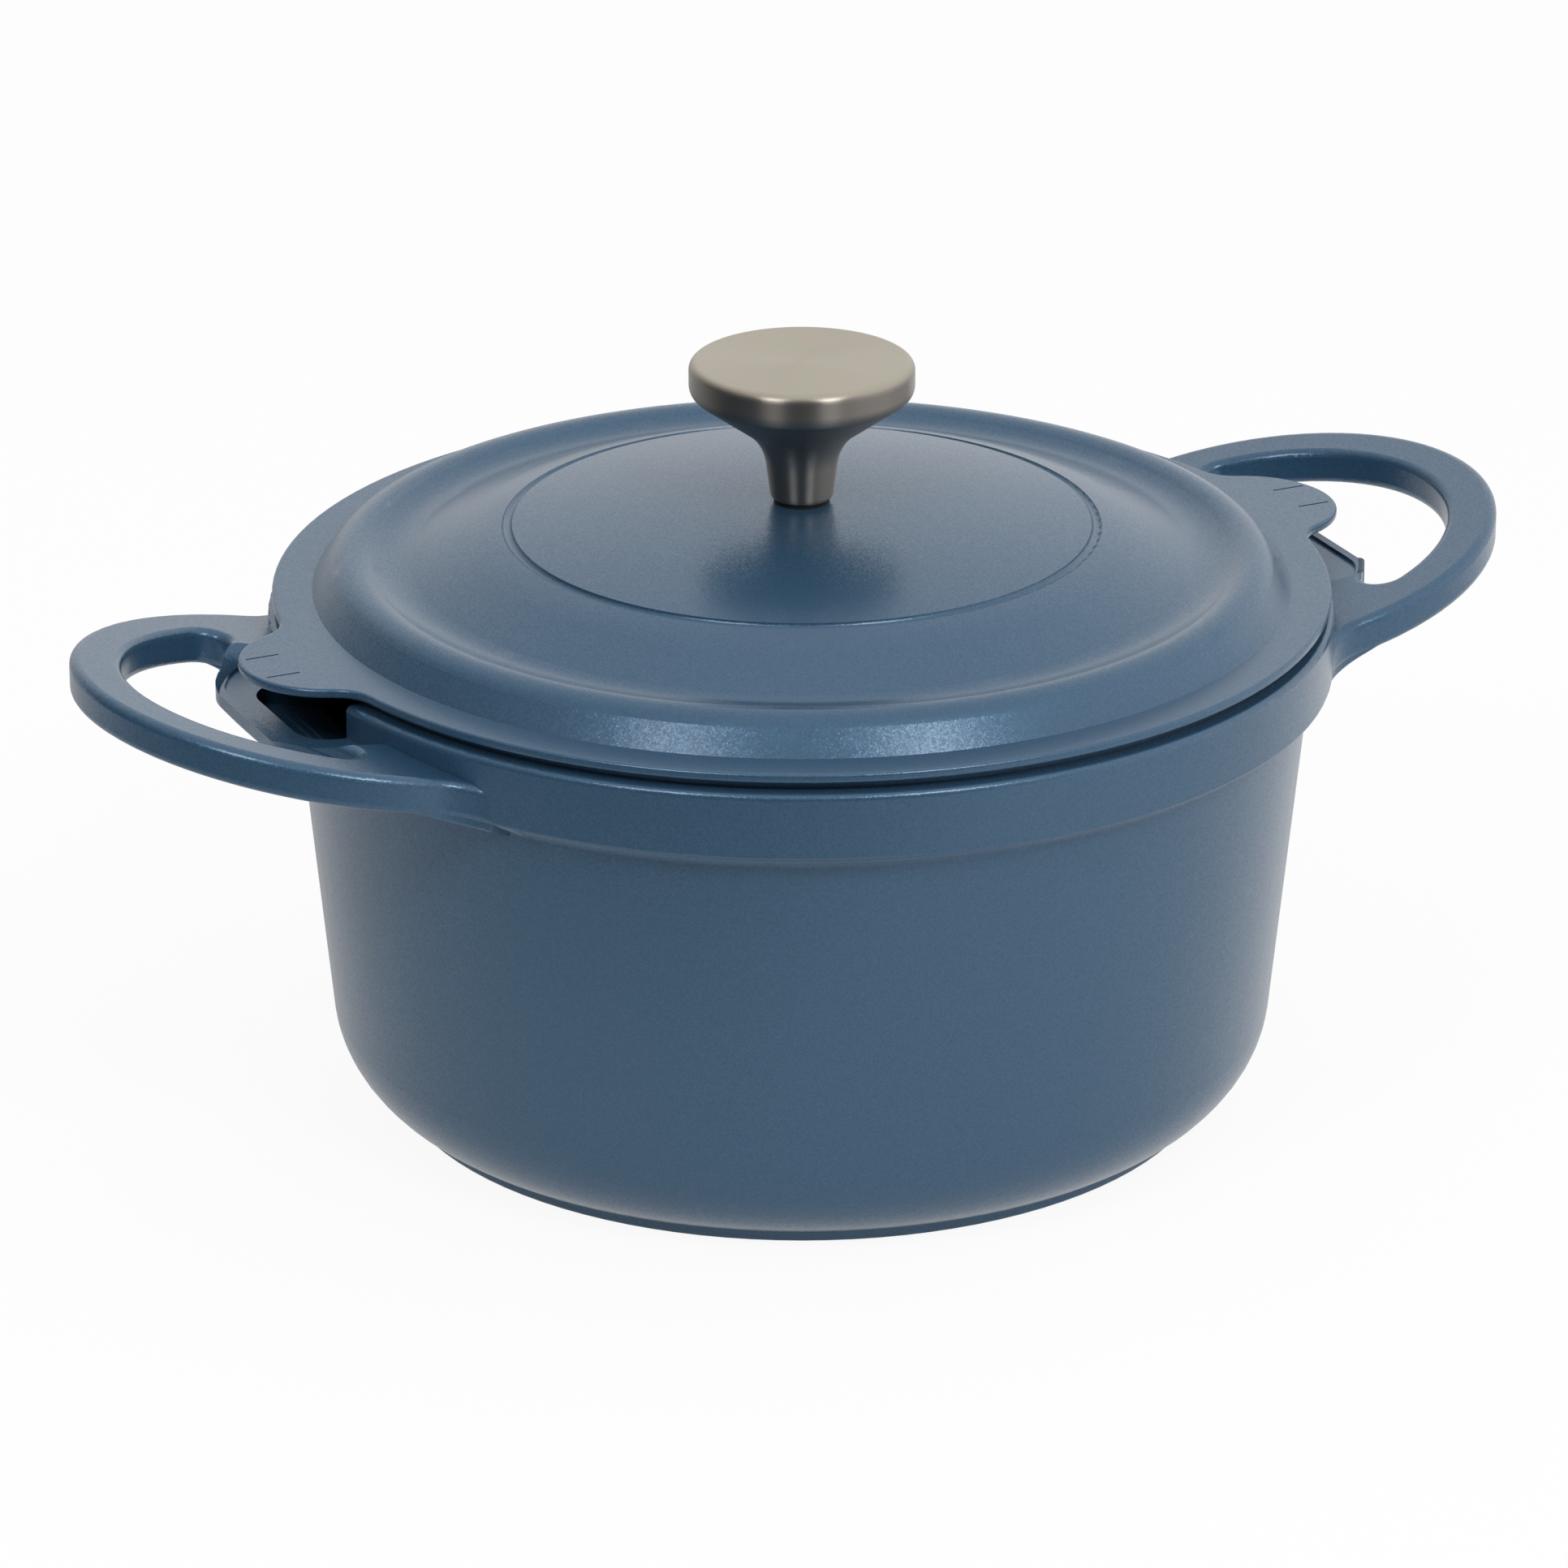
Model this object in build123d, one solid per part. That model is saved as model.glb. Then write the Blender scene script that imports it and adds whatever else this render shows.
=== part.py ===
from build123d import *
import os
from math import cos, dist, hypot, radians, sin, tan

# Enamelled cast iron dutch oven: a round pot with two loop handles and two pouring
# spouts cast in one piece, and a domed lid with two tabs that cover the spouts.
# Millimetres. +Z is up, the origin is the centre of the base on the table, and the
# handles lie along X.

# --- Pot: driving dimensions -------------------------------------------------
POT_HEIGHT = 124.1         # table to rim
WALL_FOOT_R = 112.1        # outer wall carried straight down to the table
WALL_DRAFT = 5.5           # degrees that the wall leans outward
WALL_THICKNESS = 4.3
FLOOR_THICKNESS = 5.0
FLOOR_CORNER_R = 18.0
BELLY_CORNER_Z = 7.7       # corner under the round belly, on the wall's line
BELLY_CORNER_R = 25.0
BELLY_TILT = 22.0          # degrees that the underside rises outward
FOOT_RECESS = 0.6          # middle of the base above the table
FOOT_RING_INSET = 12.6     # foot ring's edge inside WALL_FOOT_R
FOOT_RING_WIDTH = 6.0      # flat ring that the pot stands on
FOOT_RING_FILLET = 0.6

COLLAR_PROUD = 4.0         # thick band under the rim, outside the wall
COLLAR_HEIGHT = 16.1
COLLAR_TAPER = 0.4         # its face draws in by this towards its foot
COLLAR_STEP = 1.5          # rise of the underside from the wall to the foot edge
COLLAR_FOOT_FILLET = 0.8
COLLAR_STEP_FILLET = 3.5
RIM_OUTER_FILLET = 1.6
RIM_INNER_FILLET = 1.0

# --- Loop handles ------------------------------------------------------------
LOOP_CENTRE_INSET = 5.1    # centre of the loop's arc inside the collar face
LOOP_OUTER_R = 60.0
LOOP_BAND = 12.0           # width of the band seen from above
LOOP_THICKNESS = 8.8
LOOP_TILT = 12.03          # degrees that the loop rises outward
LOOP_DROP = 3.7            # rim to the loop's top face, at the collar
LOOP_ROOT_FILLET = 15.0    # in plan, loop to collar
LOOP_ROOT_SINK = 0.5       # the root runs this far into the collar
LOOP_ROOT_DEPTH = 23.1     # and ends this far inside it, along X
LOOP_EDGE_FILLET = 2.0
GUSSET_TILT = 24.2         # degrees, underside from the collar foot to the spout
GUSSET_DROP = 1.7          # below the collar foot, at the collar face
GUSSET_SINK = 7.0          # the wedge starts this far inside the collar
GUSSET_INSET = 0.5         # its walls behind those of the loop
GUSSET_ROOT = 6.0          # it ends this far outside the loop's arc, at the roots
GUSSET_EDGE_FILLET = 0.8

# --- Pouring spouts ----------------------------------------------------------
SPOUT_REACH = 15.4         # beyond the collar
SPOUT_TIP_HALF = 20.0      # half the width of the round front
SPOUT_FLANK_ANGLE = 60.0   # degrees, flanks seen from above, from the X axis
SPOUT_CORNER_FILLET = 14.0
SPOUT_WEB_FILLET = 5.0
SPOUT_SKIN = 0.3           # spout wall outside the edge of the band above it
LIP_DROP = 7.2             # below the rim
LIP_HALF = 32.5
LIP_R = 42.6               # round outline of the sunk lip
LIP_REACH = 3.7            # beyond the spout tip
LIP_END_FILLET = 6.0
LIP_WALL_SLOPE = 45.0      # degrees, from the lip up to the loop's top face
LIP_BEAD = 1.8             # narrow raised edge outside the lip
LIP_DISH = 0.8             # lip face below that edge
LIP_WIDTH = 7.5            # spout tip to the channel
CHANNEL_DROP = 3.8         # channel floor below the lip, at its outer end
CHANNEL_HALF = 20.0
CHANNEL_CORNER_FILLET = 9.0
CHANNEL_SLOPE = 15.0       # degrees down towards the pot
RIB_SETBACK = 6.8          # first cross groove from the channel's outer end
RIB_PITCH = 2.8
RIB_COUNT = 2
RIB_LENGTH = 30.0
RIB_WIDTH = 0.9
RIB_DEPTH = 0.6

# --- Lid: insets from the flange edge, rises above the flange top -------------
LID_INSET = 1.1            # flange edge inside the collar face
FLANGE_GAP = 2.3           # rim to the flange's underside
FLANGE_THICKNESS = 2.3
FLANGE_EDGE_FILLET = 0.8
SHOULDER_INSET = 9.6       # foot of the shoulder
CREST_INSET = 17.6         # corner under the round crest
CREST_RISE = 10.3
CREST_FILLET = 7.0
VALLEY_INSET = 28.4        # corner under the round valley
VALLEY_RISE = 4.6
VALLEY_FILLET = 11.0
DOME_EDGE_INSET = 52.0
DOME_EDGE_RISE = 13.7
DOME_EDGE_FILLET = 60.0
DOME_RISE = 19.9
RING_INSET = 56.3          # centre of the shallow ring groove
RING_RISE = 14.5           # dome surface there
RING_CUTTER_R = 1.3
RING_DEPTH = 1.0
LID_THICKNESS = 4.2
SEAT_WIDTH = 5.9           # seat ring beyond the skirt, resting on the rim
SKIRT_CLEARANCE = 2.4      # skirt to the pot's inner wall
SKIRT_DEPTH = 5.0
TAB_R = 21.8
TAB_REACH = 16.7           # beyond the flange edge
TAB_ROOT_FILLET = 10.0
TAB_LINE_Y = 6.5           # two fine engraved lines on each tab
TAB_LINE_SETBACK = 2.9     # from the tab's tip
TAB_LINE_LENGTH = 8.3
TAB_LINE_WIDTH = 0.6
TAB_LINE_DEPTH = 0.4
KNOB_PAD_MARGIN = 1.6      # flat land round the foot of the knob
KNOB_BOSS_MARGIN = 3.5     # and round the flat washer underneath
KNOB_BOSS_DROP = 0.8

# --- Knob and its screw: heights above the knob's foot ------------------------
KNOB_HEIGHT = 34.6
KNOB_R = 26.95
KNOB_UNDER_Z = 27.0        # underside of the cap at its rim
KNOB_WAIST_R = 9.35
KNOB_WAIST_Z = 14.4
KNOB_FOOT_R = 7.4
KNOB_TOP_FILLET = 2.2
KNOB_UNDER_FILLET = 3.5
KNOB_WAIST_FILLET = 12.0
KNOB_FOOT_FILLET = 1.8
SEAL_INSET = 0.7
SEAL_THICKNESS = 0.7
SCREW_R = 2.5
SCREW_CLEARANCE = 0.06
SCREW_REACH = 11.0         # thread length inside the knob
SCREW_CHAMFER = 0.6
SCREW_TIP_GAP = 1.5        # bore deeper than the screw
SCREW_HEAD_R = 4.75
SCREW_HEAD_HEIGHT = 3.0
SCREW_HEAD_FILLET = 1.2
SCREW_SLOT_WIDTH = 1.2
SCREW_SLOT_DEPTH = 1.4
HOLE_CLEARANCE = 0.7       # screw to the hole in the lid
FLAT_WASHER_R = 6.5
FLAT_WASHER_THICKNESS = 1.0
LOCK_WASHER_R = 4.6
LOCK_WASHER_THICKNESS = 1.2
LOCK_WASHER_GAP = 1.0
WASHER_CLEARANCE = 0.2

SPAN = 400.0               # longer than the object, for cutting tools
UNDER = (Align.CENTER, Align.CENTER, Align.MAX)   # a box hanging below its plane
OVER = (Align.CENTER, Align.CENTER, Align.MIN)    # a box standing on its plane

# --- Derived -----------------------------------------------------------------
RIM_WALL_R = WALL_FOOT_R + POT_HEIGHT * tan(radians(WALL_DRAFT))
COLLAR_R = RIM_WALL_R + COLLAR_PROUD
COLLAR_FOOT_Z = POT_HEIGHT - COLLAR_HEIGHT
LOOP_CENTRE = COLLAR_R - LOOP_CENTRE_INSET
LOOP_INNER_R = LOOP_OUTER_R - LOOP_BAND
LOOP_PLANE = Plane(
    origin=(COLLAR_R, 0, POT_HEIGHT - LOOP_DROP),
    x_dir=(cos(radians(LOOP_TILT)), 0, sin(radians(LOOP_TILT))),
    z_dir=(-sin(radians(LOOP_TILT)), 0, cos(radians(LOOP_TILT))),
)
SPOUT_TIP_R = COLLAR_R + SPOUT_REACH
LIP_Z = POT_HEIGHT - LIP_DROP
CHANNEL_END_X = SPOUT_TIP_R - LIP_WIDTH
CHANNEL_PLANE = Plane(
    origin=(CHANNEL_END_X, 0, LIP_Z - CHANNEL_DROP),
    x_dir=(cos(radians(CHANNEL_SLOPE)), 0, sin(radians(CHANNEL_SLOPE))),
    z_dir=(-sin(radians(CHANNEL_SLOPE)), 0, cos(radians(CHANNEL_SLOPE))),
)

LID_R = COLLAR_R - LID_INSET
TAB_TIP_R = LID_R + TAB_REACH
FLANGE_BOTTOM_Z = POT_HEIGHT + FLANGE_GAP
FLANGE_TOP_Z = FLANGE_BOTTOM_Z + FLANGE_THICKNESS
DOME_TOP_Z = FLANGE_TOP_Z + DOME_RISE
SKIRT_R = RIM_WALL_R - WALL_THICKNESS - SKIRT_CLEARANCE
SKIRT_INNER_R = SKIRT_R - LID_THICKNESS / 2
SKIRT_BOTTOM_Z = POT_HEIGHT - SKIRT_DEPTH
KNOB_FOOT_Z = DOME_TOP_Z + SEAL_THICKNESS
KNOB_HOLE_R = SCREW_R + HOLE_CLEARANCE
LID_UNDER_Z = DOME_TOP_Z - LID_THICKNESS - KNOB_BOSS_DROP
FLAT_WASHER_Z = LID_UNDER_Z - FLAT_WASHER_THICKNESS
LOCK_WASHER_Z = FLAT_WASHER_Z - LOCK_WASHER_THICKNESS


def turned(corners):
    """Solid of revolution about Z from (radius, height, corner radius) triples."""
    path = FilletPolyline(
        *[(r, z) for r, z, _ in corners], radius=[rounding for *_, rounding in corners], close=True
    )
    return revolve(Plane.XZ * make_face(path), Axis.Z)


def ring(outer_r, inner_r, bottom_z, height):
    """Flat ring about Z."""
    plan = Circle(outer_r) - Circle(inner_r)
    return extrude(Pos(0, 0, bottom_z) * plan, height)


def both_sides(shape):
    """The +X feature and its twin across the pot."""
    return [shape, Rot(0, 0, 180) * shape]


# --- Pot ---------------------------------------------------------------------
def wall_r(z):
    """Outer wall radius at height z."""
    return WALL_FOOT_R + z * tan(radians(WALL_DRAFT))


def foot_ring():
    """Low ring that the pot stands on, its top inside the belly."""
    outer_r = WALL_FOOT_R - FOOT_RING_INSET
    inner_r = outer_r - FOOT_RING_WIDTH
    return turned([
        (inner_r, 0, 0),
        (outer_r, 0, FOOT_RING_FILLET),
        (outer_r, FLOOR_THICKNESS / 2, 0),
        (inner_r, FLOOR_THICKNESS / 2, 0),
    ])


def pot_outside():
    step_z = COLLAR_FOOT_Z - COLLAR_STEP
    belly_r = wall_r(BELLY_CORNER_Z)
    base_r = belly_r - (BELLY_CORNER_Z - FOOT_RECESS) / tan(radians(BELLY_TILT))
    body = turned([
        (0, FOOT_RECESS, 0),
        (base_r, FOOT_RECESS, 0),
        (belly_r, BELLY_CORNER_Z, BELLY_CORNER_R),
        (wall_r(step_z), step_z, COLLAR_STEP_FILLET),
        (COLLAR_R - COLLAR_TAPER, COLLAR_FOOT_Z, COLLAR_FOOT_FILLET),
        (COLLAR_R, POT_HEIGHT, RIM_OUTER_FILLET),
        (0, POT_HEIGHT, 0),
    ])
    return body + foot_ring()


def pot_cavity():
    """The inside, with the rounded inner edge of the rim."""
    inner_rim_r = RIM_WALL_R - WALL_THICKNESS
    above_z = POT_HEIGHT + 2 * RIM_INNER_FILLET
    return turned([
        (0, FLOOR_THICKNESS, 0),
        (wall_r(FLOOR_THICKNESS) - WALL_THICKNESS, FLOOR_THICKNESS, FLOOR_CORNER_R),
        (inner_rim_r, POT_HEIGHT, RIM_INNER_FILLET),
        (inner_rim_r + 2 * RIM_INNER_FILLET, POT_HEIGHT, 0),
        (inner_rim_r + 2 * RIM_INNER_FILLET, above_z, 0),
        (0, above_z, 0),
    ])


def loop_plan():
    """Outline of one loop with its roots, seen from above."""
    plan = Pos(LOOP_CENTRE, 0) * Circle(LOOP_OUTER_R) + Circle(COLLAR_R - LOOP_ROOT_SINK)
    roots = [v for v in plan.vertices() if abs(v.Y) > LOOP_INNER_R and v.X > LOOP_INNER_R]
    return fillet(roots, LOOP_ROOT_FILLET)


def spout_plan():
    """Outline of one spout carried back to the pot, seen from above."""
    flank_y = LOOP_OUTER_R
    flank_x = SPOUT_TIP_R - (flank_y - SPOUT_TIP_HALF) / tan(radians(SPOUT_FLANK_ANGLE))
    rounding = SPOUT_CORNER_FILLET
    return make_face(FilletPolyline(
        (0, -flank_y), (flank_x, -flank_y), (SPOUT_TIP_R, -SPOUT_TIP_HALF),
        (SPOUT_TIP_R, SPOUT_TIP_HALF), (flank_x, flank_y), (0, flank_y),
        radius=[0, 0, rounding, rounding, 0, 0], close=True,
    ))


def finger_hole_plan():
    """The opening between the spout and the loop, seen from above."""
    hole = Pos(LOOP_CENTRE, 0) * Circle(LOOP_INNER_R) - spout_plan()
    corners = [v for v in hole.vertices() if abs(v.Y) > LIP_HALF]
    return fillet(corners, SPOUT_WEB_FILLET)


def gusset_plan():
    """Inside the loop's walls, and just outside those of the spout, seen from above."""
    spout = offset(spout_plan(), SPOUT_SKIN) & Pos(LOOP_CENTRE, 0) * Circle(LOOP_INNER_R)
    inside = offset(loop_plan() - finger_hole_plan(), -GUSSET_INSET)
    return (inside + spout) & Pos(LOOP_CENTRE, 0) * Circle(LOOP_OUTER_R + GUSSET_ROOT)


def upright(plan):
    """Prism of a plan outline, taller than the pot."""
    return extrude(plan, SPAN / 2)


def beyond_collar(edges):
    """The edges that the pot's own wall won't swallow."""
    return [e for e in edges if hypot(e.center().X, e.center().Y) > COLLAR_R - GUSSET_SINK / 2]


def loop_band(prism):
    """Flat tilted band, rounded along its top and bottom outlines."""
    slab = LOOP_PLANE * Box(SPAN, SPAN, LOOP_THICKNESS, align=UNDER)
    band = prism & slab
    outlines = [e for face in band.faces().filter_by(LOOP_PLANE) for e in face.edges()]
    return fillet(beyond_collar(outlines), LOOP_EDGE_FILLET)


def gusset(prism):
    """Wedge between the band and the collar, with a conical underside."""
    rise = tan(radians(GUSSET_TILT))
    near_r = COLLAR_R - GUSSET_SINK
    near_z = COLLAR_FOOT_Z - GUSSET_DROP - GUSSET_SINK * rise
    far_z = near_z + (SPAN - near_r) * rise
    above_cone = turned([(near_r, near_z, 0), (SPAN, far_z, 0), (SPAN, SPAN, 0), (near_r, SPAN, 0)])
    band_middle = Pos(0, 0, -LOOP_THICKNESS / 2) * LOOP_PLANE
    wedge = prism & band_middle * Box(SPAN, SPAN, SPAN, align=UNDER) & above_cone
    underside = wedge.faces().filter_by(GeomType.CONE).edges()
    walls = [e for e in beyond_collar(underside) if e.geom_type in (GeomType.BSPLINE, GeomType.HYPERBOLA)]
    return fillet(walls, GUSSET_EDGE_FILLET)


def loop_handle():
    """One loop with the solid body of its spout, on the +X side."""
    root_x = COLLAR_R - LOOP_ROOT_DEPTH
    beyond_root = Pos(root_x, 0, 0) * Box(SPAN, SPAN, SPAN, align=(Align.MIN, Align.CENTER, Align.CENTER))
    band = loop_band(upright(loop_plan() - finger_hole_plan()) & beyond_root)
    return band + gusset(upright(gusset_plan()))


def channel_plan():
    """Pouring channel seen from above, square at the pot and rounded at the tip."""
    return make_face(FilletPolyline(
        (LOOP_INNER_R, -CHANNEL_HALF), (CHANNEL_END_X, -CHANNEL_HALF),
        (CHANNEL_END_X, CHANNEL_HALF), (LOOP_INNER_R, CHANNEL_HALF),
        radius=[0, CHANNEL_CORNER_FILLET, CHANNEL_CORNER_FILLET, 0], close=True,
    ))


def channel_cut():
    """The pouring channel, with shallow cross grooves in its sloping floor."""
    channel = upright(channel_plan()) & CHANNEL_PLANE * Box(SPAN, SPAN, SPAN, align=OVER)
    groove = Box(RIB_WIDTH, RIB_LENGTH, 2 * RIB_DEPTH)
    for i in range(RIB_COUNT):
        channel += CHANNEL_PLANE * Pos(-RIB_SETBACK - i * RIB_PITCH, 0, 0) * groove
    return channel


def lip_plan():
    """Outline of the sunk lip, seen from above: round in front, closed at both ends."""
    front = Pos(SPOUT_TIP_R + LIP_REACH - LIP_R, 0) * Circle(LIP_R)
    plan = front & Pos(COLLAR_R, 0) * Rectangle(2 * LIP_R, 2 * LIP_HALF)
    ends = [v for v in plan.vertices() if v.X > COLLAR_R]
    return fillet(ends, LIP_END_FILLET)


def lip_cut():
    """Everything above the lip, and the shallow dish inside its raised edge."""
    above_lip = extrude(Pos(0, 0, LIP_Z) * lip_plan(), COLLAR_HEIGHT, taper=-LIP_WALL_SLOPE)
    dish = lip_plan() & offset(loop_plan() - finger_hole_plan(), -LIP_BEAD)
    above_dish = extrude(Pos(0, 0, LIP_Z - LIP_DISH) * dish, COLLAR_HEIGHT)
    return above_lip + above_dish - Cylinder(COLLAR_R, SPAN)


def pot():
    body = pot_outside()
    handle = loop_handle()
    for side in both_sides(handle):
        body += side
    for cut in [*both_sides(lip_cut()), *both_sides(channel_cut())]:
        body -= cut
    return body - pot_cavity()


# --- Lid ---------------------------------------------------------------------
def rounded(face, corners):
    """Round corners of a section face, each given as ((radius, height), corner radius)."""
    for place, rounding in corners:
        nearest = min(face.vertices(), key=lambda v: dist(place, (v.X, v.Y)))
        face = fillet(nearest, rounding)
    return face


def lid_block(bottom_z):
    """Section of the lid as if it were solid, on the +X side of the axis."""
    pad_edge = (KNOB_FOOT_R + KNOB_PAD_MARGIN, DOME_TOP_Z)
    dome_edge = (LID_R - DOME_EDGE_INSET, FLANGE_TOP_Z + DOME_EDGE_RISE)
    valley = (LID_R - VALLEY_INSET, FLANGE_TOP_Z + VALLEY_RISE)
    crest = (LID_R - CREST_INSET, FLANGE_TOP_Z + CREST_RISE)
    dome = TangentArc(pad_edge, dome_edge, tangent=(1, 0))
    rest = Polyline(
        dome_edge, valley, crest, (LID_R - SHOULDER_INSET, FLANGE_TOP_Z),
        (SKIRT_R, FLANGE_BOTTOM_Z), (SKIRT_R, bottom_z), (0, bottom_z), (0, DOME_TOP_Z), pad_edge,
    )
    corners = [(valley, VALLEY_FILLET), (crest, CREST_FILLET), (dome_edge, DOME_EDGE_FILLET)]
    return rounded(make_face([dome, rest]), corners)


def lid_section():
    """The lid's casting wall with its skirt, as a section to be turned."""
    half = lid_block(SKIRT_BOTTOM_Z - 2 * LID_THICKNESS)
    hollow = offset(half + mirror(half, Plane.YZ), -LID_THICKNESS)
    ring_z = FLANGE_TOP_Z + RING_RISE - RING_DEPTH + RING_CUTTER_R
    groove = Pos(LID_R - RING_INSET, ring_z) * Circle(RING_CUTTER_R)
    return lid_block(SKIRT_BOTTOM_Z) - groove - hollow


def flange():
    """Thin flange with a half-round tab over each spout."""
    plan = Circle(LID_R)
    for side in both_sides(Pos(TAB_TIP_R - TAB_R, 0) * Circle(TAB_R)):
        plan += side
    plan = fillet(plan.vertices(), TAB_ROOT_FILLET)
    plate = extrude(Pos(0, 0, FLANGE_BOTTOM_Z) * plan, FLANGE_THICKNESS)
    rims = plate.faces().filter_by(Plane.XY).edges()
    return fillet(rims, FLANGE_EDGE_FILLET)


def seat():
    """Ring under the flange that rests on the pot's rim."""
    return ring(SKIRT_R + SEAT_WIDTH, SKIRT_INNER_R, POT_HEIGHT, FLANGE_TOP_Z - POT_HEIGHT)


def tab_lines():
    """The two engraved lines of one tab, on the +X side."""
    middle_x = TAB_TIP_R - TAB_LINE_SETBACK - TAB_LINE_LENGTH / 2
    line = Box(TAB_LINE_LENGTH, TAB_LINE_WIDTH, 2 * TAB_LINE_DEPTH)
    return [Pos(middle_x, y, FLANGE_TOP_Z) * line for y in (-TAB_LINE_Y, TAB_LINE_Y)]


def lid():
    body = revolve(Plane.XZ * lid_section(), Axis.Z) + seat()
    body += flange() - Pos(0, 0, FLANGE_TOP_Z) * Cylinder(SKIRT_INNER_R, SPAN)
    boss = Cylinder(FLAT_WASHER_R + KNOB_BOSS_MARGIN, DOME_TOP_Z - LID_UNDER_Z, align=OVER)
    body += Pos(0, 0, LID_UNDER_Z) * boss
    body -= Cylinder(KNOB_HOLE_R, SPAN)
    for line in tab_lines():
        for side in both_sides(line):
            body -= side
    return body


# --- Knob and its fastening --------------------------------------------------
def screw_bore():
    """Blind hole up the middle of the knob."""
    depth = SCREW_REACH + SCREW_TIP_GAP
    return Pos(0, 0, KNOB_FOOT_Z) * Cylinder(SCREW_R + SCREW_CLEARANCE, depth, align=OVER)


def knob():
    body = turned([
        (0, KNOB_FOOT_Z, 0),
        (KNOB_FOOT_R, KNOB_FOOT_Z, KNOB_FOOT_FILLET),
        (KNOB_WAIST_R, KNOB_FOOT_Z + KNOB_WAIST_Z, KNOB_WAIST_FILLET),
        (KNOB_R, KNOB_FOOT_Z + KNOB_UNDER_Z, KNOB_UNDER_FILLET),
        (KNOB_R, KNOB_FOOT_Z + KNOB_HEIGHT, KNOB_TOP_FILLET),
        (0, KNOB_FOOT_Z + KNOB_HEIGHT, 0),
    ])
    return body - screw_bore()


def knob_seal():
    return ring(KNOB_FOOT_R - SEAL_INSET, KNOB_HOLE_R, DOME_TOP_Z, SEAL_THICKNESS)


def flat_washer():
    return ring(FLAT_WASHER_R, SCREW_R + WASHER_CLEARANCE, FLAT_WASHER_Z, FLAT_WASHER_THICKNESS)


def lock_washer():
    """Spring ring, split on one side."""
    coil = ring(LOCK_WASHER_R, SCREW_R + WASHER_CLEARANCE, LOCK_WASHER_Z, LOCK_WASHER_THICKNESS)
    split = Box(SPAN, LOCK_WASHER_GAP, SPAN, align=(Align.MIN, Align.CENTER, Align.CENTER))
    return coil - split


def knob_screw():
    """Slotted screw, head down."""
    head_bottom_z = LOCK_WASHER_Z - SCREW_HEAD_HEIGHT
    tip_z = KNOB_FOOT_Z + SCREW_REACH
    body = turned([
        (0, head_bottom_z, 0),
        (SCREW_HEAD_R, head_bottom_z, SCREW_HEAD_FILLET),
        (SCREW_HEAD_R, LOCK_WASHER_Z, 0),
        (SCREW_R, LOCK_WASHER_Z, 0),
        (SCREW_R, tip_z - SCREW_CHAMFER, 0),
        (SCREW_R - SCREW_CHAMFER, tip_z, 0),
        (0, tip_z, 0),
    ])
    return body - Pos(0, 0, head_bottom_z) * Box(SPAN, SCREW_SLOT_WIDTH, 2 * SCREW_SLOT_DEPTH)


NODES = {
    "pot": pot,
    "lid": lid,
    "knob": knob,
    "knob_seal": knob_seal,
    "flat_washer": flat_washer,
    "lock_washer": lock_washer,
    "knob_screw": knob_screw,
}

os.makedirs("parts", exist_ok=True)
for name, make in NODES.items():
    export_step(make(), f"parts/{name}.step")
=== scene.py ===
from math import cos, radians, sin

import bpy
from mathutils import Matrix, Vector

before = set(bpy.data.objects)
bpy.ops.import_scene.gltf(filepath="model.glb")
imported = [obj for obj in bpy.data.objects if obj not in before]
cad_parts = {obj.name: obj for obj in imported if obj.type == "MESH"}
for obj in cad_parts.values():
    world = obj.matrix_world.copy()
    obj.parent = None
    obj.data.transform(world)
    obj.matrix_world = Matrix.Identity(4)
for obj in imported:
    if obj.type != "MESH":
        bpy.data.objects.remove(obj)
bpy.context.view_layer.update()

MM = 0.001

# The two castings wear one coat, and the screw and its washers are bare steel.
COATED = ("pot", "lid")
HARDWARE = ("knob_screw", "flat_washer", "lock_washer")


# --- Small tools ---------------------------------------------------------------
def srgb(hex_code):
    """A sRGB hex colour as the linear RGBA that Blender's shaders take."""
    channels = [int(hex_code[i:i + 2], 16) / 255 for i in (1, 3, 5)]
    linear = [c / 12.92 if c <= 0.04045 else ((c + 0.055) / 1.055) ** 2.4 for c in channels]
    return (*linear, 1.0)


def add(tree, kind, inputs=None, **settings):
    """Adds a node. Each input is a plain value, or another node's output to link from."""
    made = tree.nodes.new("ShaderNode" + kind)
    for name, value in settings.items():
        setattr(made, name, value)
    for socket, value in (inputs or {}).items():
        if isinstance(value, bpy.types.NodeSocket):
            tree.links.new(value, made.inputs[socket])
        else:
            made.inputs[socket].default_value = value
    return made


def calc(tree, operation, *values):
    """One step of arithmetic on plain values and other nodes' outputs, as an output to link from."""
    return add(tree, "Math", dict(enumerate(values)), operation=operation).outputs[0]


def new_material(name):
    """An empty material with its output node."""
    material = bpy.data.materials.new(name)
    material.use_nodes = True
    material.node_tree.nodes.clear()
    output = material.node_tree.nodes.new("ShaderNodeOutputMaterial")
    return material, material.node_tree, output


def dress(node, material):
    """Puts one material on a CAD node."""
    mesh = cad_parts[node].data
    mesh.materials.clear()
    mesh.materials.append(material)


# --- Finishes ------------------------------------------------------------------
FLAKE_SIZE = 0.35 * MM     # coarser than real flakes, so that they show
FLAKE_LEAN = 0.18          # spread of the flakes' tilt, as a slope
TOP_COAT_LEAN = 0.035      # the part of it that is left in the skin over them
SPRAY_GRAIN = 1.2 * MM     # width of the orange peel that the spray gun leaves
PEEL_DEPTH = 0.02 * MM

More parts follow.
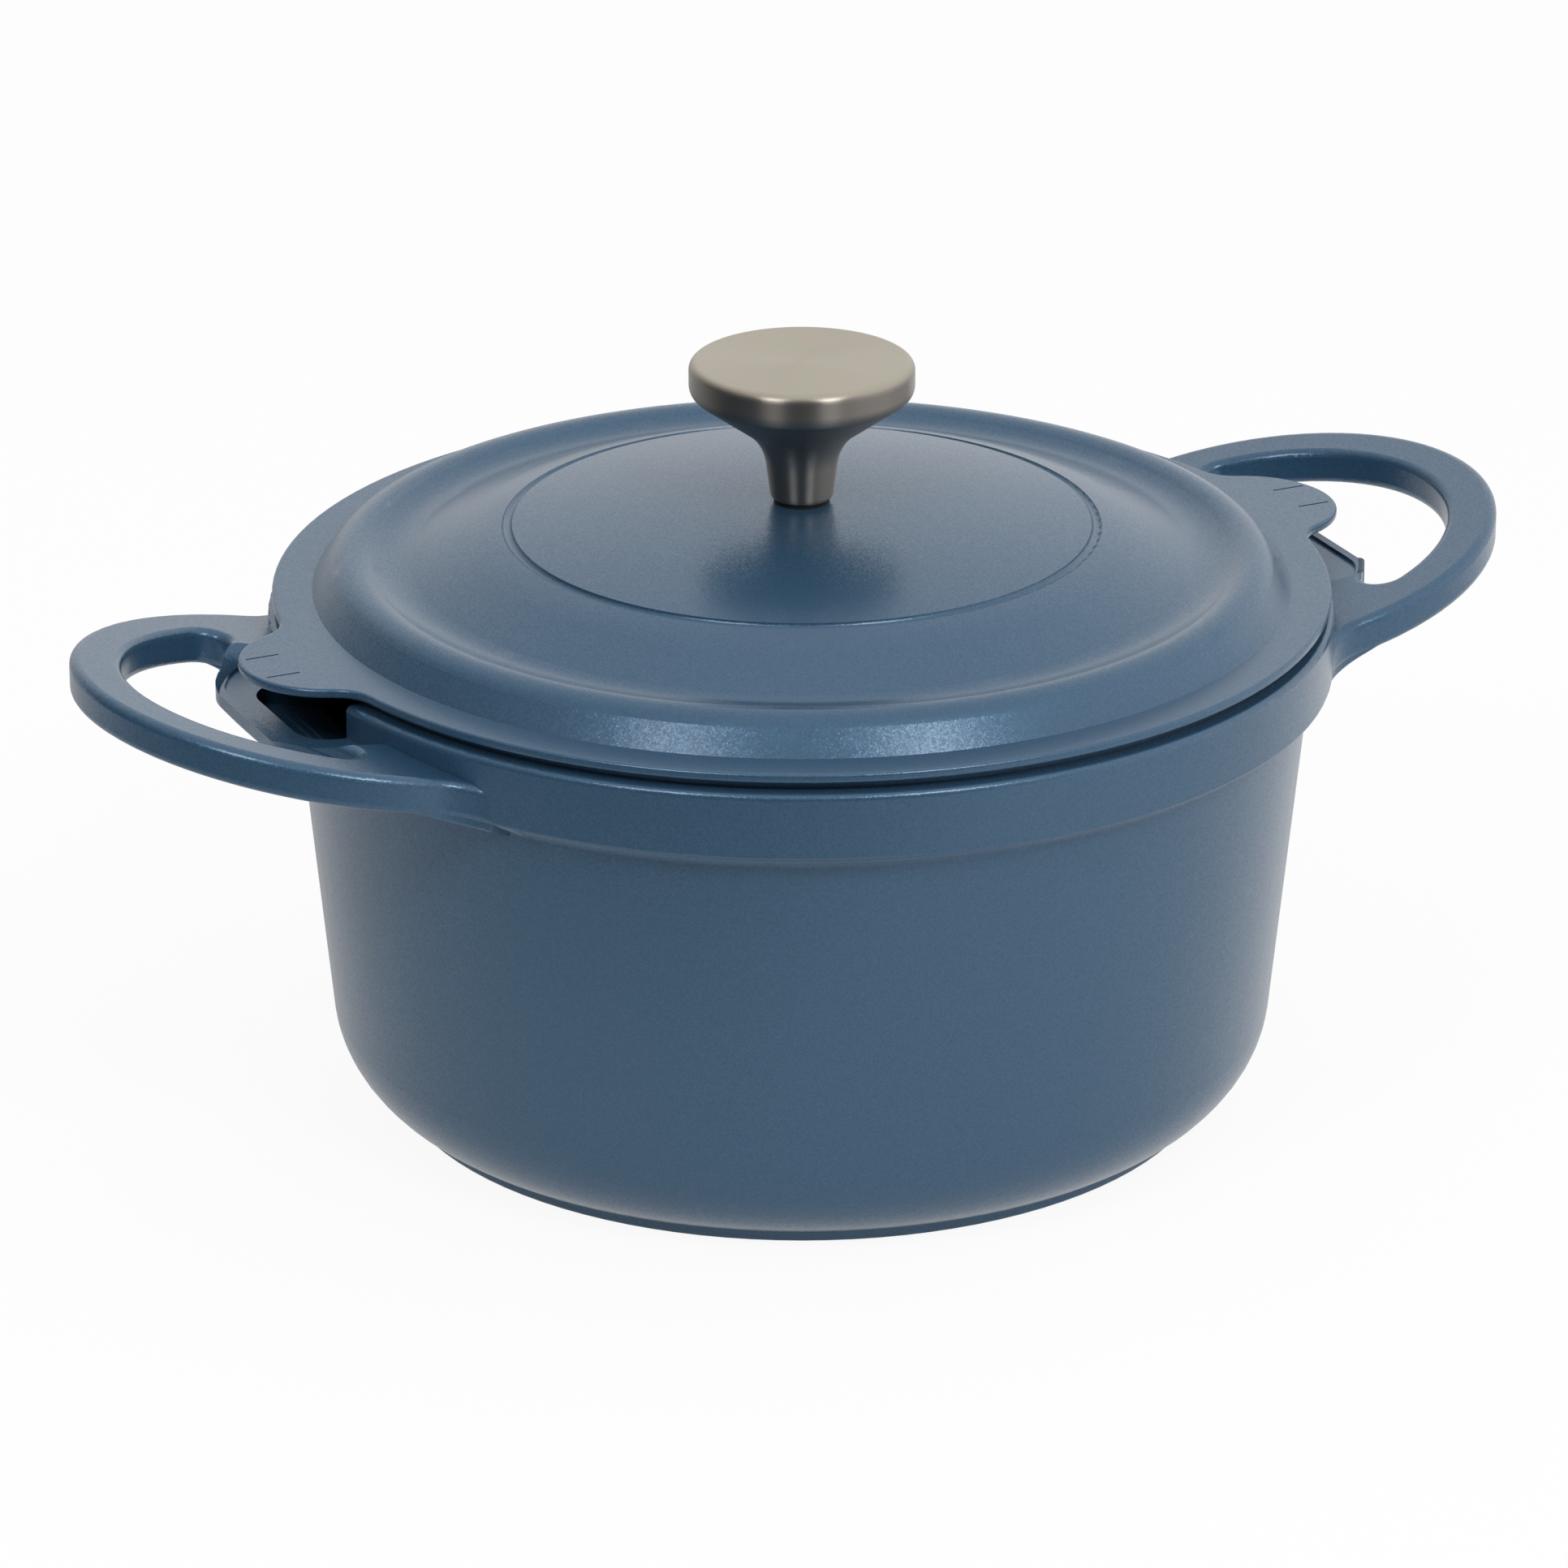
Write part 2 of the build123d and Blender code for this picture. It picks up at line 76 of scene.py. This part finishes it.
TURNED_RING = 0.25 * MM    # spacing of the rings that turning leaves
RING_DEPTH = 0.01 * MM
PATINA_SPOT = 9 * MM       # size of the faint spots in the plate's colour
SIDE_NORMAL_Z = 0.3        # the turned finish and the painted shade of the sides end, going up over the knob's edge
TOP_NORMAL_Z = 0.95        # the blasted finish and the painted light of the top are complete
SIDE_STRETCH = 0.95        # stretch of the highlights on the turned sides
TOP_STRETCH = 0.40         # and on the blasted top


def sprayed_flake_enamel():
    """Blue enamel sprayed over cast iron and fired: metallic flake under a satin top coat."""
    material, tree, output = new_material("sprayed_flake_enamel")
    place = add(tree, "TexCoord").outputs["Object"]

    flakes = add(tree, "TexVoronoi", {"Vector": place, "Scale": 1 / FLAKE_SIZE})
    tint = add(tree, "ValToRGB", {"Fac": flakes.outputs["Color"]})
    tint.color_ramp.elements[0].color = srgb("#30536E")
    tint.color_ramp.elements[1].color = srgb("#3F607C")

    half = (0.5, 0.5, 0.5)
    spread = add(tree, "VectorMath", {0: flakes.outputs["Color"], 1: half}, operation="SUBTRACT")
    peel = add(tree, "TexNoise", {"Vector": place, "Scale": 1 / SPRAY_GRAIN, "Detail": 2.0})
    skin = add(tree, "Bump", {"Height": peel.outputs["Fac"], "Strength": 0.10, "Distance": PEEL_DEPTH})
    normals = []
    for lean in (FLAKE_LEAN, TOP_COAT_LEAN):
        tilt = add(tree, "VectorMath", {0: spread.outputs[0], "Scale": lean}, operation="SCALE")
        tilted = add(tree, "VectorMath", {0: skin.outputs["Normal"], 1: tilt.outputs[0]}, operation="ADD")
        unit = add(tree, "VectorMath", {0: tilted.outputs[0]}, operation="NORMALIZE")
        normals.append(unit.outputs[0])

    coat = add(tree, "BsdfPrincipled", {
        "Base Color": tint.outputs["Color"],
        "Metallic": 0.38,
        "Roughness": 0.32,
        "Specular IOR Level": 0.0,
        "Normal": normals[0],
        "Coat Weight": 1.0,
        "Coat Roughness": 0.25,
        "Coat Normal": normals[1],
    })
    tree.links.new(coat.outputs["BSDF"], output.inputs["Surface"])
    return material


def satin_nickel():
    """Nickel plate: turned sides, whose fine rings stretch each light, and a blasted top; painted shade on
    the sides, a painted highlight on the top and rounded edge.
    """
    material, tree, output = new_material("satin_nickel")
    spot = add(tree, "TexCoord")
    place = spot.outputs["Object"]
    facing = add(tree, "SeparateXYZ", {0: spot.outputs["Normal"]})
    # Which way the surface faces: it sets the finish, and also where the painted shade gives way to the
    # painted highlight.
    top = add(tree, "MapRange", {
        "Value": facing.outputs["Z"], "From Min": SIDE_NORMAL_Z, "From Max": TOP_NORMAL_Z,
    }).outputs[0]
    stretch = add(tree, "MapRange", {"Value": top, "To Min": SIDE_STRETCH, "To Max": TOP_STRETCH})
    around = add(tree, "Tangent", direction_type="RADIAL", axis="Z")
    radius = add(tree, "VectorMath", {0: place, 1: (1, 1, 0)}, operation="MULTIPLY")
    reach = add(tree, "VectorMath", {0: radius.outputs[0]}, operation="LENGTH")
    height = add(tree, "SeparateXYZ", {0: place})
    line = add(tree, "CombineXYZ", {"X": reach.outputs["Value"], "Z": height.outputs["Z"]})
    rings = add(tree, "TexNoise", {"Vector": line.outputs[0], "Scale": 1 / TURNED_RING, "Detail": 3.0})
    worn = add(tree, "TexNoise", {"Vector": place, "Scale": 1 / PATINA_SPOT, "Detail": 2.0})
    # The top's colour: faint spots at random, painted lighter than the sides as light falling on the top.
    patina_and_lit_top = add(tree, "ValToRGB", {"Fac": worn.outputs["Fac"]})
    patina_and_lit_top.color_ramp.elements[0].position = 0.3
    patina_and_lit_top.color_ramp.elements[0].color = srgb("#BCB1A3")
    patina_and_lit_top.color_ramp.elements[1].position = 0.7
    patina_and_lit_top.color_ramp.elements[1].color = srgb("#B6B2A1")
    # Painted shade and highlight: darker on the sides, lighter on the top and over the rounded edge, by
    # which way each faces.
    tint = add(tree, "MixRGB", {
        "Fac": top, "Color1": srgb("#938D86"), "Color2": patina_and_lit_top.outputs["Color"],
    })
    grooves = add(tree, "Bump", {"Height": rings.outputs["Fac"], "Strength": 0.15, "Distance": RING_DEPTH})
    metal = add(tree, "BsdfPrincipled", {
        "Base Color": tint.outputs["Color"],
        "Metallic": 1.0,
        "Roughness": 0.37,
        "Anisotropic": stretch.outputs[0],
        "Anisotropic Rotation": 0.25,
        "Tangent": around.outputs[0],
        "Normal": grooves.outputs["Normal"],
    })
    tree.links.new(metal.outputs["BSDF"], output.inputs["Surface"])
    return material


def black_silicone():
    """Moulded silicone rubber: matt, nearly black."""
    material, tree, output = new_material("black_silicone")
    rubber = add(tree, "BsdfPrincipled", {
        "Base Color": srgb("#141416"),
        "Roughness": 0.6,
        "IOR": 1.42,
    })
    tree.links.new(rubber.outputs["BSDF"], output.inputs["Surface"])
    return material


def stainless_steel():
    """Rolled and stamped stainless steel of the screw and washers."""
    material, tree, output = new_material("stainless_steel")
    metal = add(tree, "BsdfPrincipled", {
        "Base Color": srgb("#BDBCB8"),
        "Metallic": 1.0,
        "Roughness": 0.3,
    })
    tree.links.new(metal.outputs["BSDF"], output.inputs["Surface"])
    return material


def dress_all():
    """Gives each piece the finish that it has in use."""
    enamel = sprayed_flake_enamel()
    for node in COATED:
        dress(node, enamel)
    dress("knob", satin_nickel())
    dress("knob_seal", black_silicone())
    steel = stainless_steel()
    for node in HARDWARE:
        dress(node, steel)


# --- Stage ---------------------------------------------------------------------
WHITE = (1.0, 1.0, 1.0, 1.0)

FLOOR_HALF = 30.0
FLOOR_LEVEL = -0.2 * MM     # clear of the foot ring, so that the two faces never coincide
PAPER_WHITE = 0.92         # share of the floor that shows as plain white, the rest is lit paper

# Directions seen from the object: toward the camera, and to its right.
FRONT = Vector((-0.4311, -0.9023, 0))
RIGHT = Vector((0.9033, -0.4289, 0))

# Shiny surfaces see the paper's light fade on the front left, between these distances (m).
UNLIT_SIDE = (FRONT - 0.6 * RIGHT).normalized()
LIT_TO = 0.18
DARK_FROM = 0.48

# The strength of that light at two places across the view: (metres to the right, strength).
PAPER_LIGHT = {"left": (-0.3, 0.55), "right": (0.3, 0.88)}

# Strength of the white walls of the set on each side, and of the sky over it.
WALLS = {
    "front": (FRONT, 0.03),
    "back": (-FRONT, 0.88),
    "right": (RIGHT, 1.15),
    "left": (-RIGHT, 0.03),
    "sky": (Vector((0, 0, 1)), 0.92),
}


def background_rays(tree):
    """1 for the rays that show the background: straight ones, and those off metal or through glass."""
    rays = add(tree, "LightPath").outputs
    shiny = calc(tree, "MAXIMUM", rays["Is Camera Ray"], rays["Is Glossy Ray"])
    return calc(tree, "MAXIMUM", shiny, rays["Is Transmission Ray"])


def white_floor():
    """Pale paper: white to the camera, dimmer to shiny surfaces, and with the object's shadow."""
    bpy.ops.mesh.primitive_plane_add(size=2 * FLOOR_HALF, location=(0, 0, FLOOR_LEVEL))
    floor = bpy.context.object
    floor.name = "floor"
    material, tree, output = new_material("paper_floor")
    paper = add(tree, "BsdfDiffuse", {"Color": srgb("#F2F2F2")})
    place = add(tree, "NewGeometry").outputs["Position"]
    ahead = add(tree, "VectorMath", {0: place, 1: UNLIT_SIDE}, operation="DOT_PRODUCT")
    lit = add(tree, "MapRange", {
        "Value": ahead.outputs["Value"], "From Min": LIT_TO, "From Max": DARK_FROM,
        "To Min": 1.0, "To Max": 0.0,
    })
    aside = add(tree, "VectorMath", {0: place, 1: RIGHT}, operation="DOT_PRODUCT")
    (left, left_light), (right, right_light) = PAPER_LIGHT["left"], PAPER_LIGHT["right"]
    gain = add(tree, "MapRange", {
        "Value": aside.outputs["Value"], "From Min": left, "From Max": right,
        "To Min": left_light, "To Max": right_light,
    })
    pool = calc(tree, "MULTIPLY", lit.outputs[0], gain.outputs[0])
    seen = calc(tree, "MAXIMUM", pool, add(tree, "LightPath").outputs["Is Camera Ray"])
    glow = add(tree, "Emission", {"Color": WHITE, "Strength": seen})
    share = calc(tree, "MULTIPLY", background_rays(tree), PAPER_WHITE)
    mix = add(tree, "MixShader", {0: share, 1: paper.outputs[0], 2: glow.outputs[0]})
    tree.links.new(mix.outputs[0], output.inputs["Surface"])
    floor.data.materials.append(material)


def studio_world():
    """White walls, dim on the left and on the camera's side, and white to the camera all round."""
    world = bpy.data.worlds.new("studio")
    bpy.context.scene.world = world
    world.use_nodes = True
    tree = world.node_tree
    tree.nodes.clear()
    output = tree.nodes.new("ShaderNodeOutputWorld")
    view = add(tree, "TexCoord").outputs["Generated"]
    total = 0.0
    for direction, strength in WALLS.values():
        facing = add(tree, "VectorMath", {0: view, 1: direction}, operation="DOT_PRODUCT")
        seen = calc(tree, "MAXIMUM", facing.outputs["Value"], 0.0)
        total = calc(tree, "MULTIPLY_ADD", calc(tree, "MULTIPLY", seen, seen), strength, total)
    walls = add(tree, "Background", {"Color": WHITE, "Strength": total})
    white = add(tree, "Background", {"Color": WHITE, "Strength": 1.0})
    straight = add(tree, "LightPath").outputs["Is Camera Ray"]
    mix = add(tree, "MixShader", {0: straight, 1: walls.outputs[0], 2: white.outputs[0]})
    tree.links.new(mix.outputs[0], output.inputs["Surface"])


def softbox(name, place, target, size, power):
    """Rectangular area light aimed at a point."""
    light = bpy.data.lights.new(name, "AREA")
    light.shape = "RECTANGLE"
    light.size, light.size_y = size
    light.energy = power
    lamp = bpy.data.objects.new(name, light)
    lamp.location = place
    lamp.rotation_euler = (Vector(target) - Vector(place)).to_track_quat("-Z", "Y").to_euler()
    bpy.context.scene.collection.objects.link(lamp)


BOX_TARGET = (0, 0, 0.1)
BOX_DISTANCE = 1.6
BOX_HEIGHT = 1.5
BOX_ANGLE = 32.0           # degrees to either side of the camera
BOX_SIZE = (0.6, 0.4)
BOX_POWER = {"left_box": 9.5, "right_box": 12.0}


def lights():
    """Two softboxes above the camera's shoulders."""
    for (name, power), side in zip(BOX_POWER.items(), (-1, 1)):
        angle = radians(BOX_ANGLE) * side
        place = (FRONT * cos(angle) + RIGHT * sin(angle)) * BOX_DISTANCE
        place.z = BOX_HEIGHT
        softbox(name, place, BOX_TARGET, BOX_SIZE, power)


# --- Camera --------------------------------------------------------------------
CAMERA_PLACE = (-0.7500, -1.5696, 0.7738)
CAMERA_TURN = (68.13, 0.0, -25.4)      # degrees
CAMERA_LENS = 177.42                   # mm
CAMERA_SENSOR = 36.0                   # mm wide


def camera():
    """The view from the front left, a little from above."""
    data = bpy.data.cameras.new("camera")
    data.lens = CAMERA_LENS
    data.sensor_width = CAMERA_SENSOR
    made = bpy.data.objects.new("camera", data)
    made.location = CAMERA_PLACE
    made.rotation_euler = [radians(a) for a in CAMERA_TURN]
    bpy.context.scene.collection.objects.link(made)
    bpy.context.scene.camera = made


dress_all()
white_floor()
studio_world()
lights()
camera()
bpy.context.scene.view_settings.view_transform = "Standard"
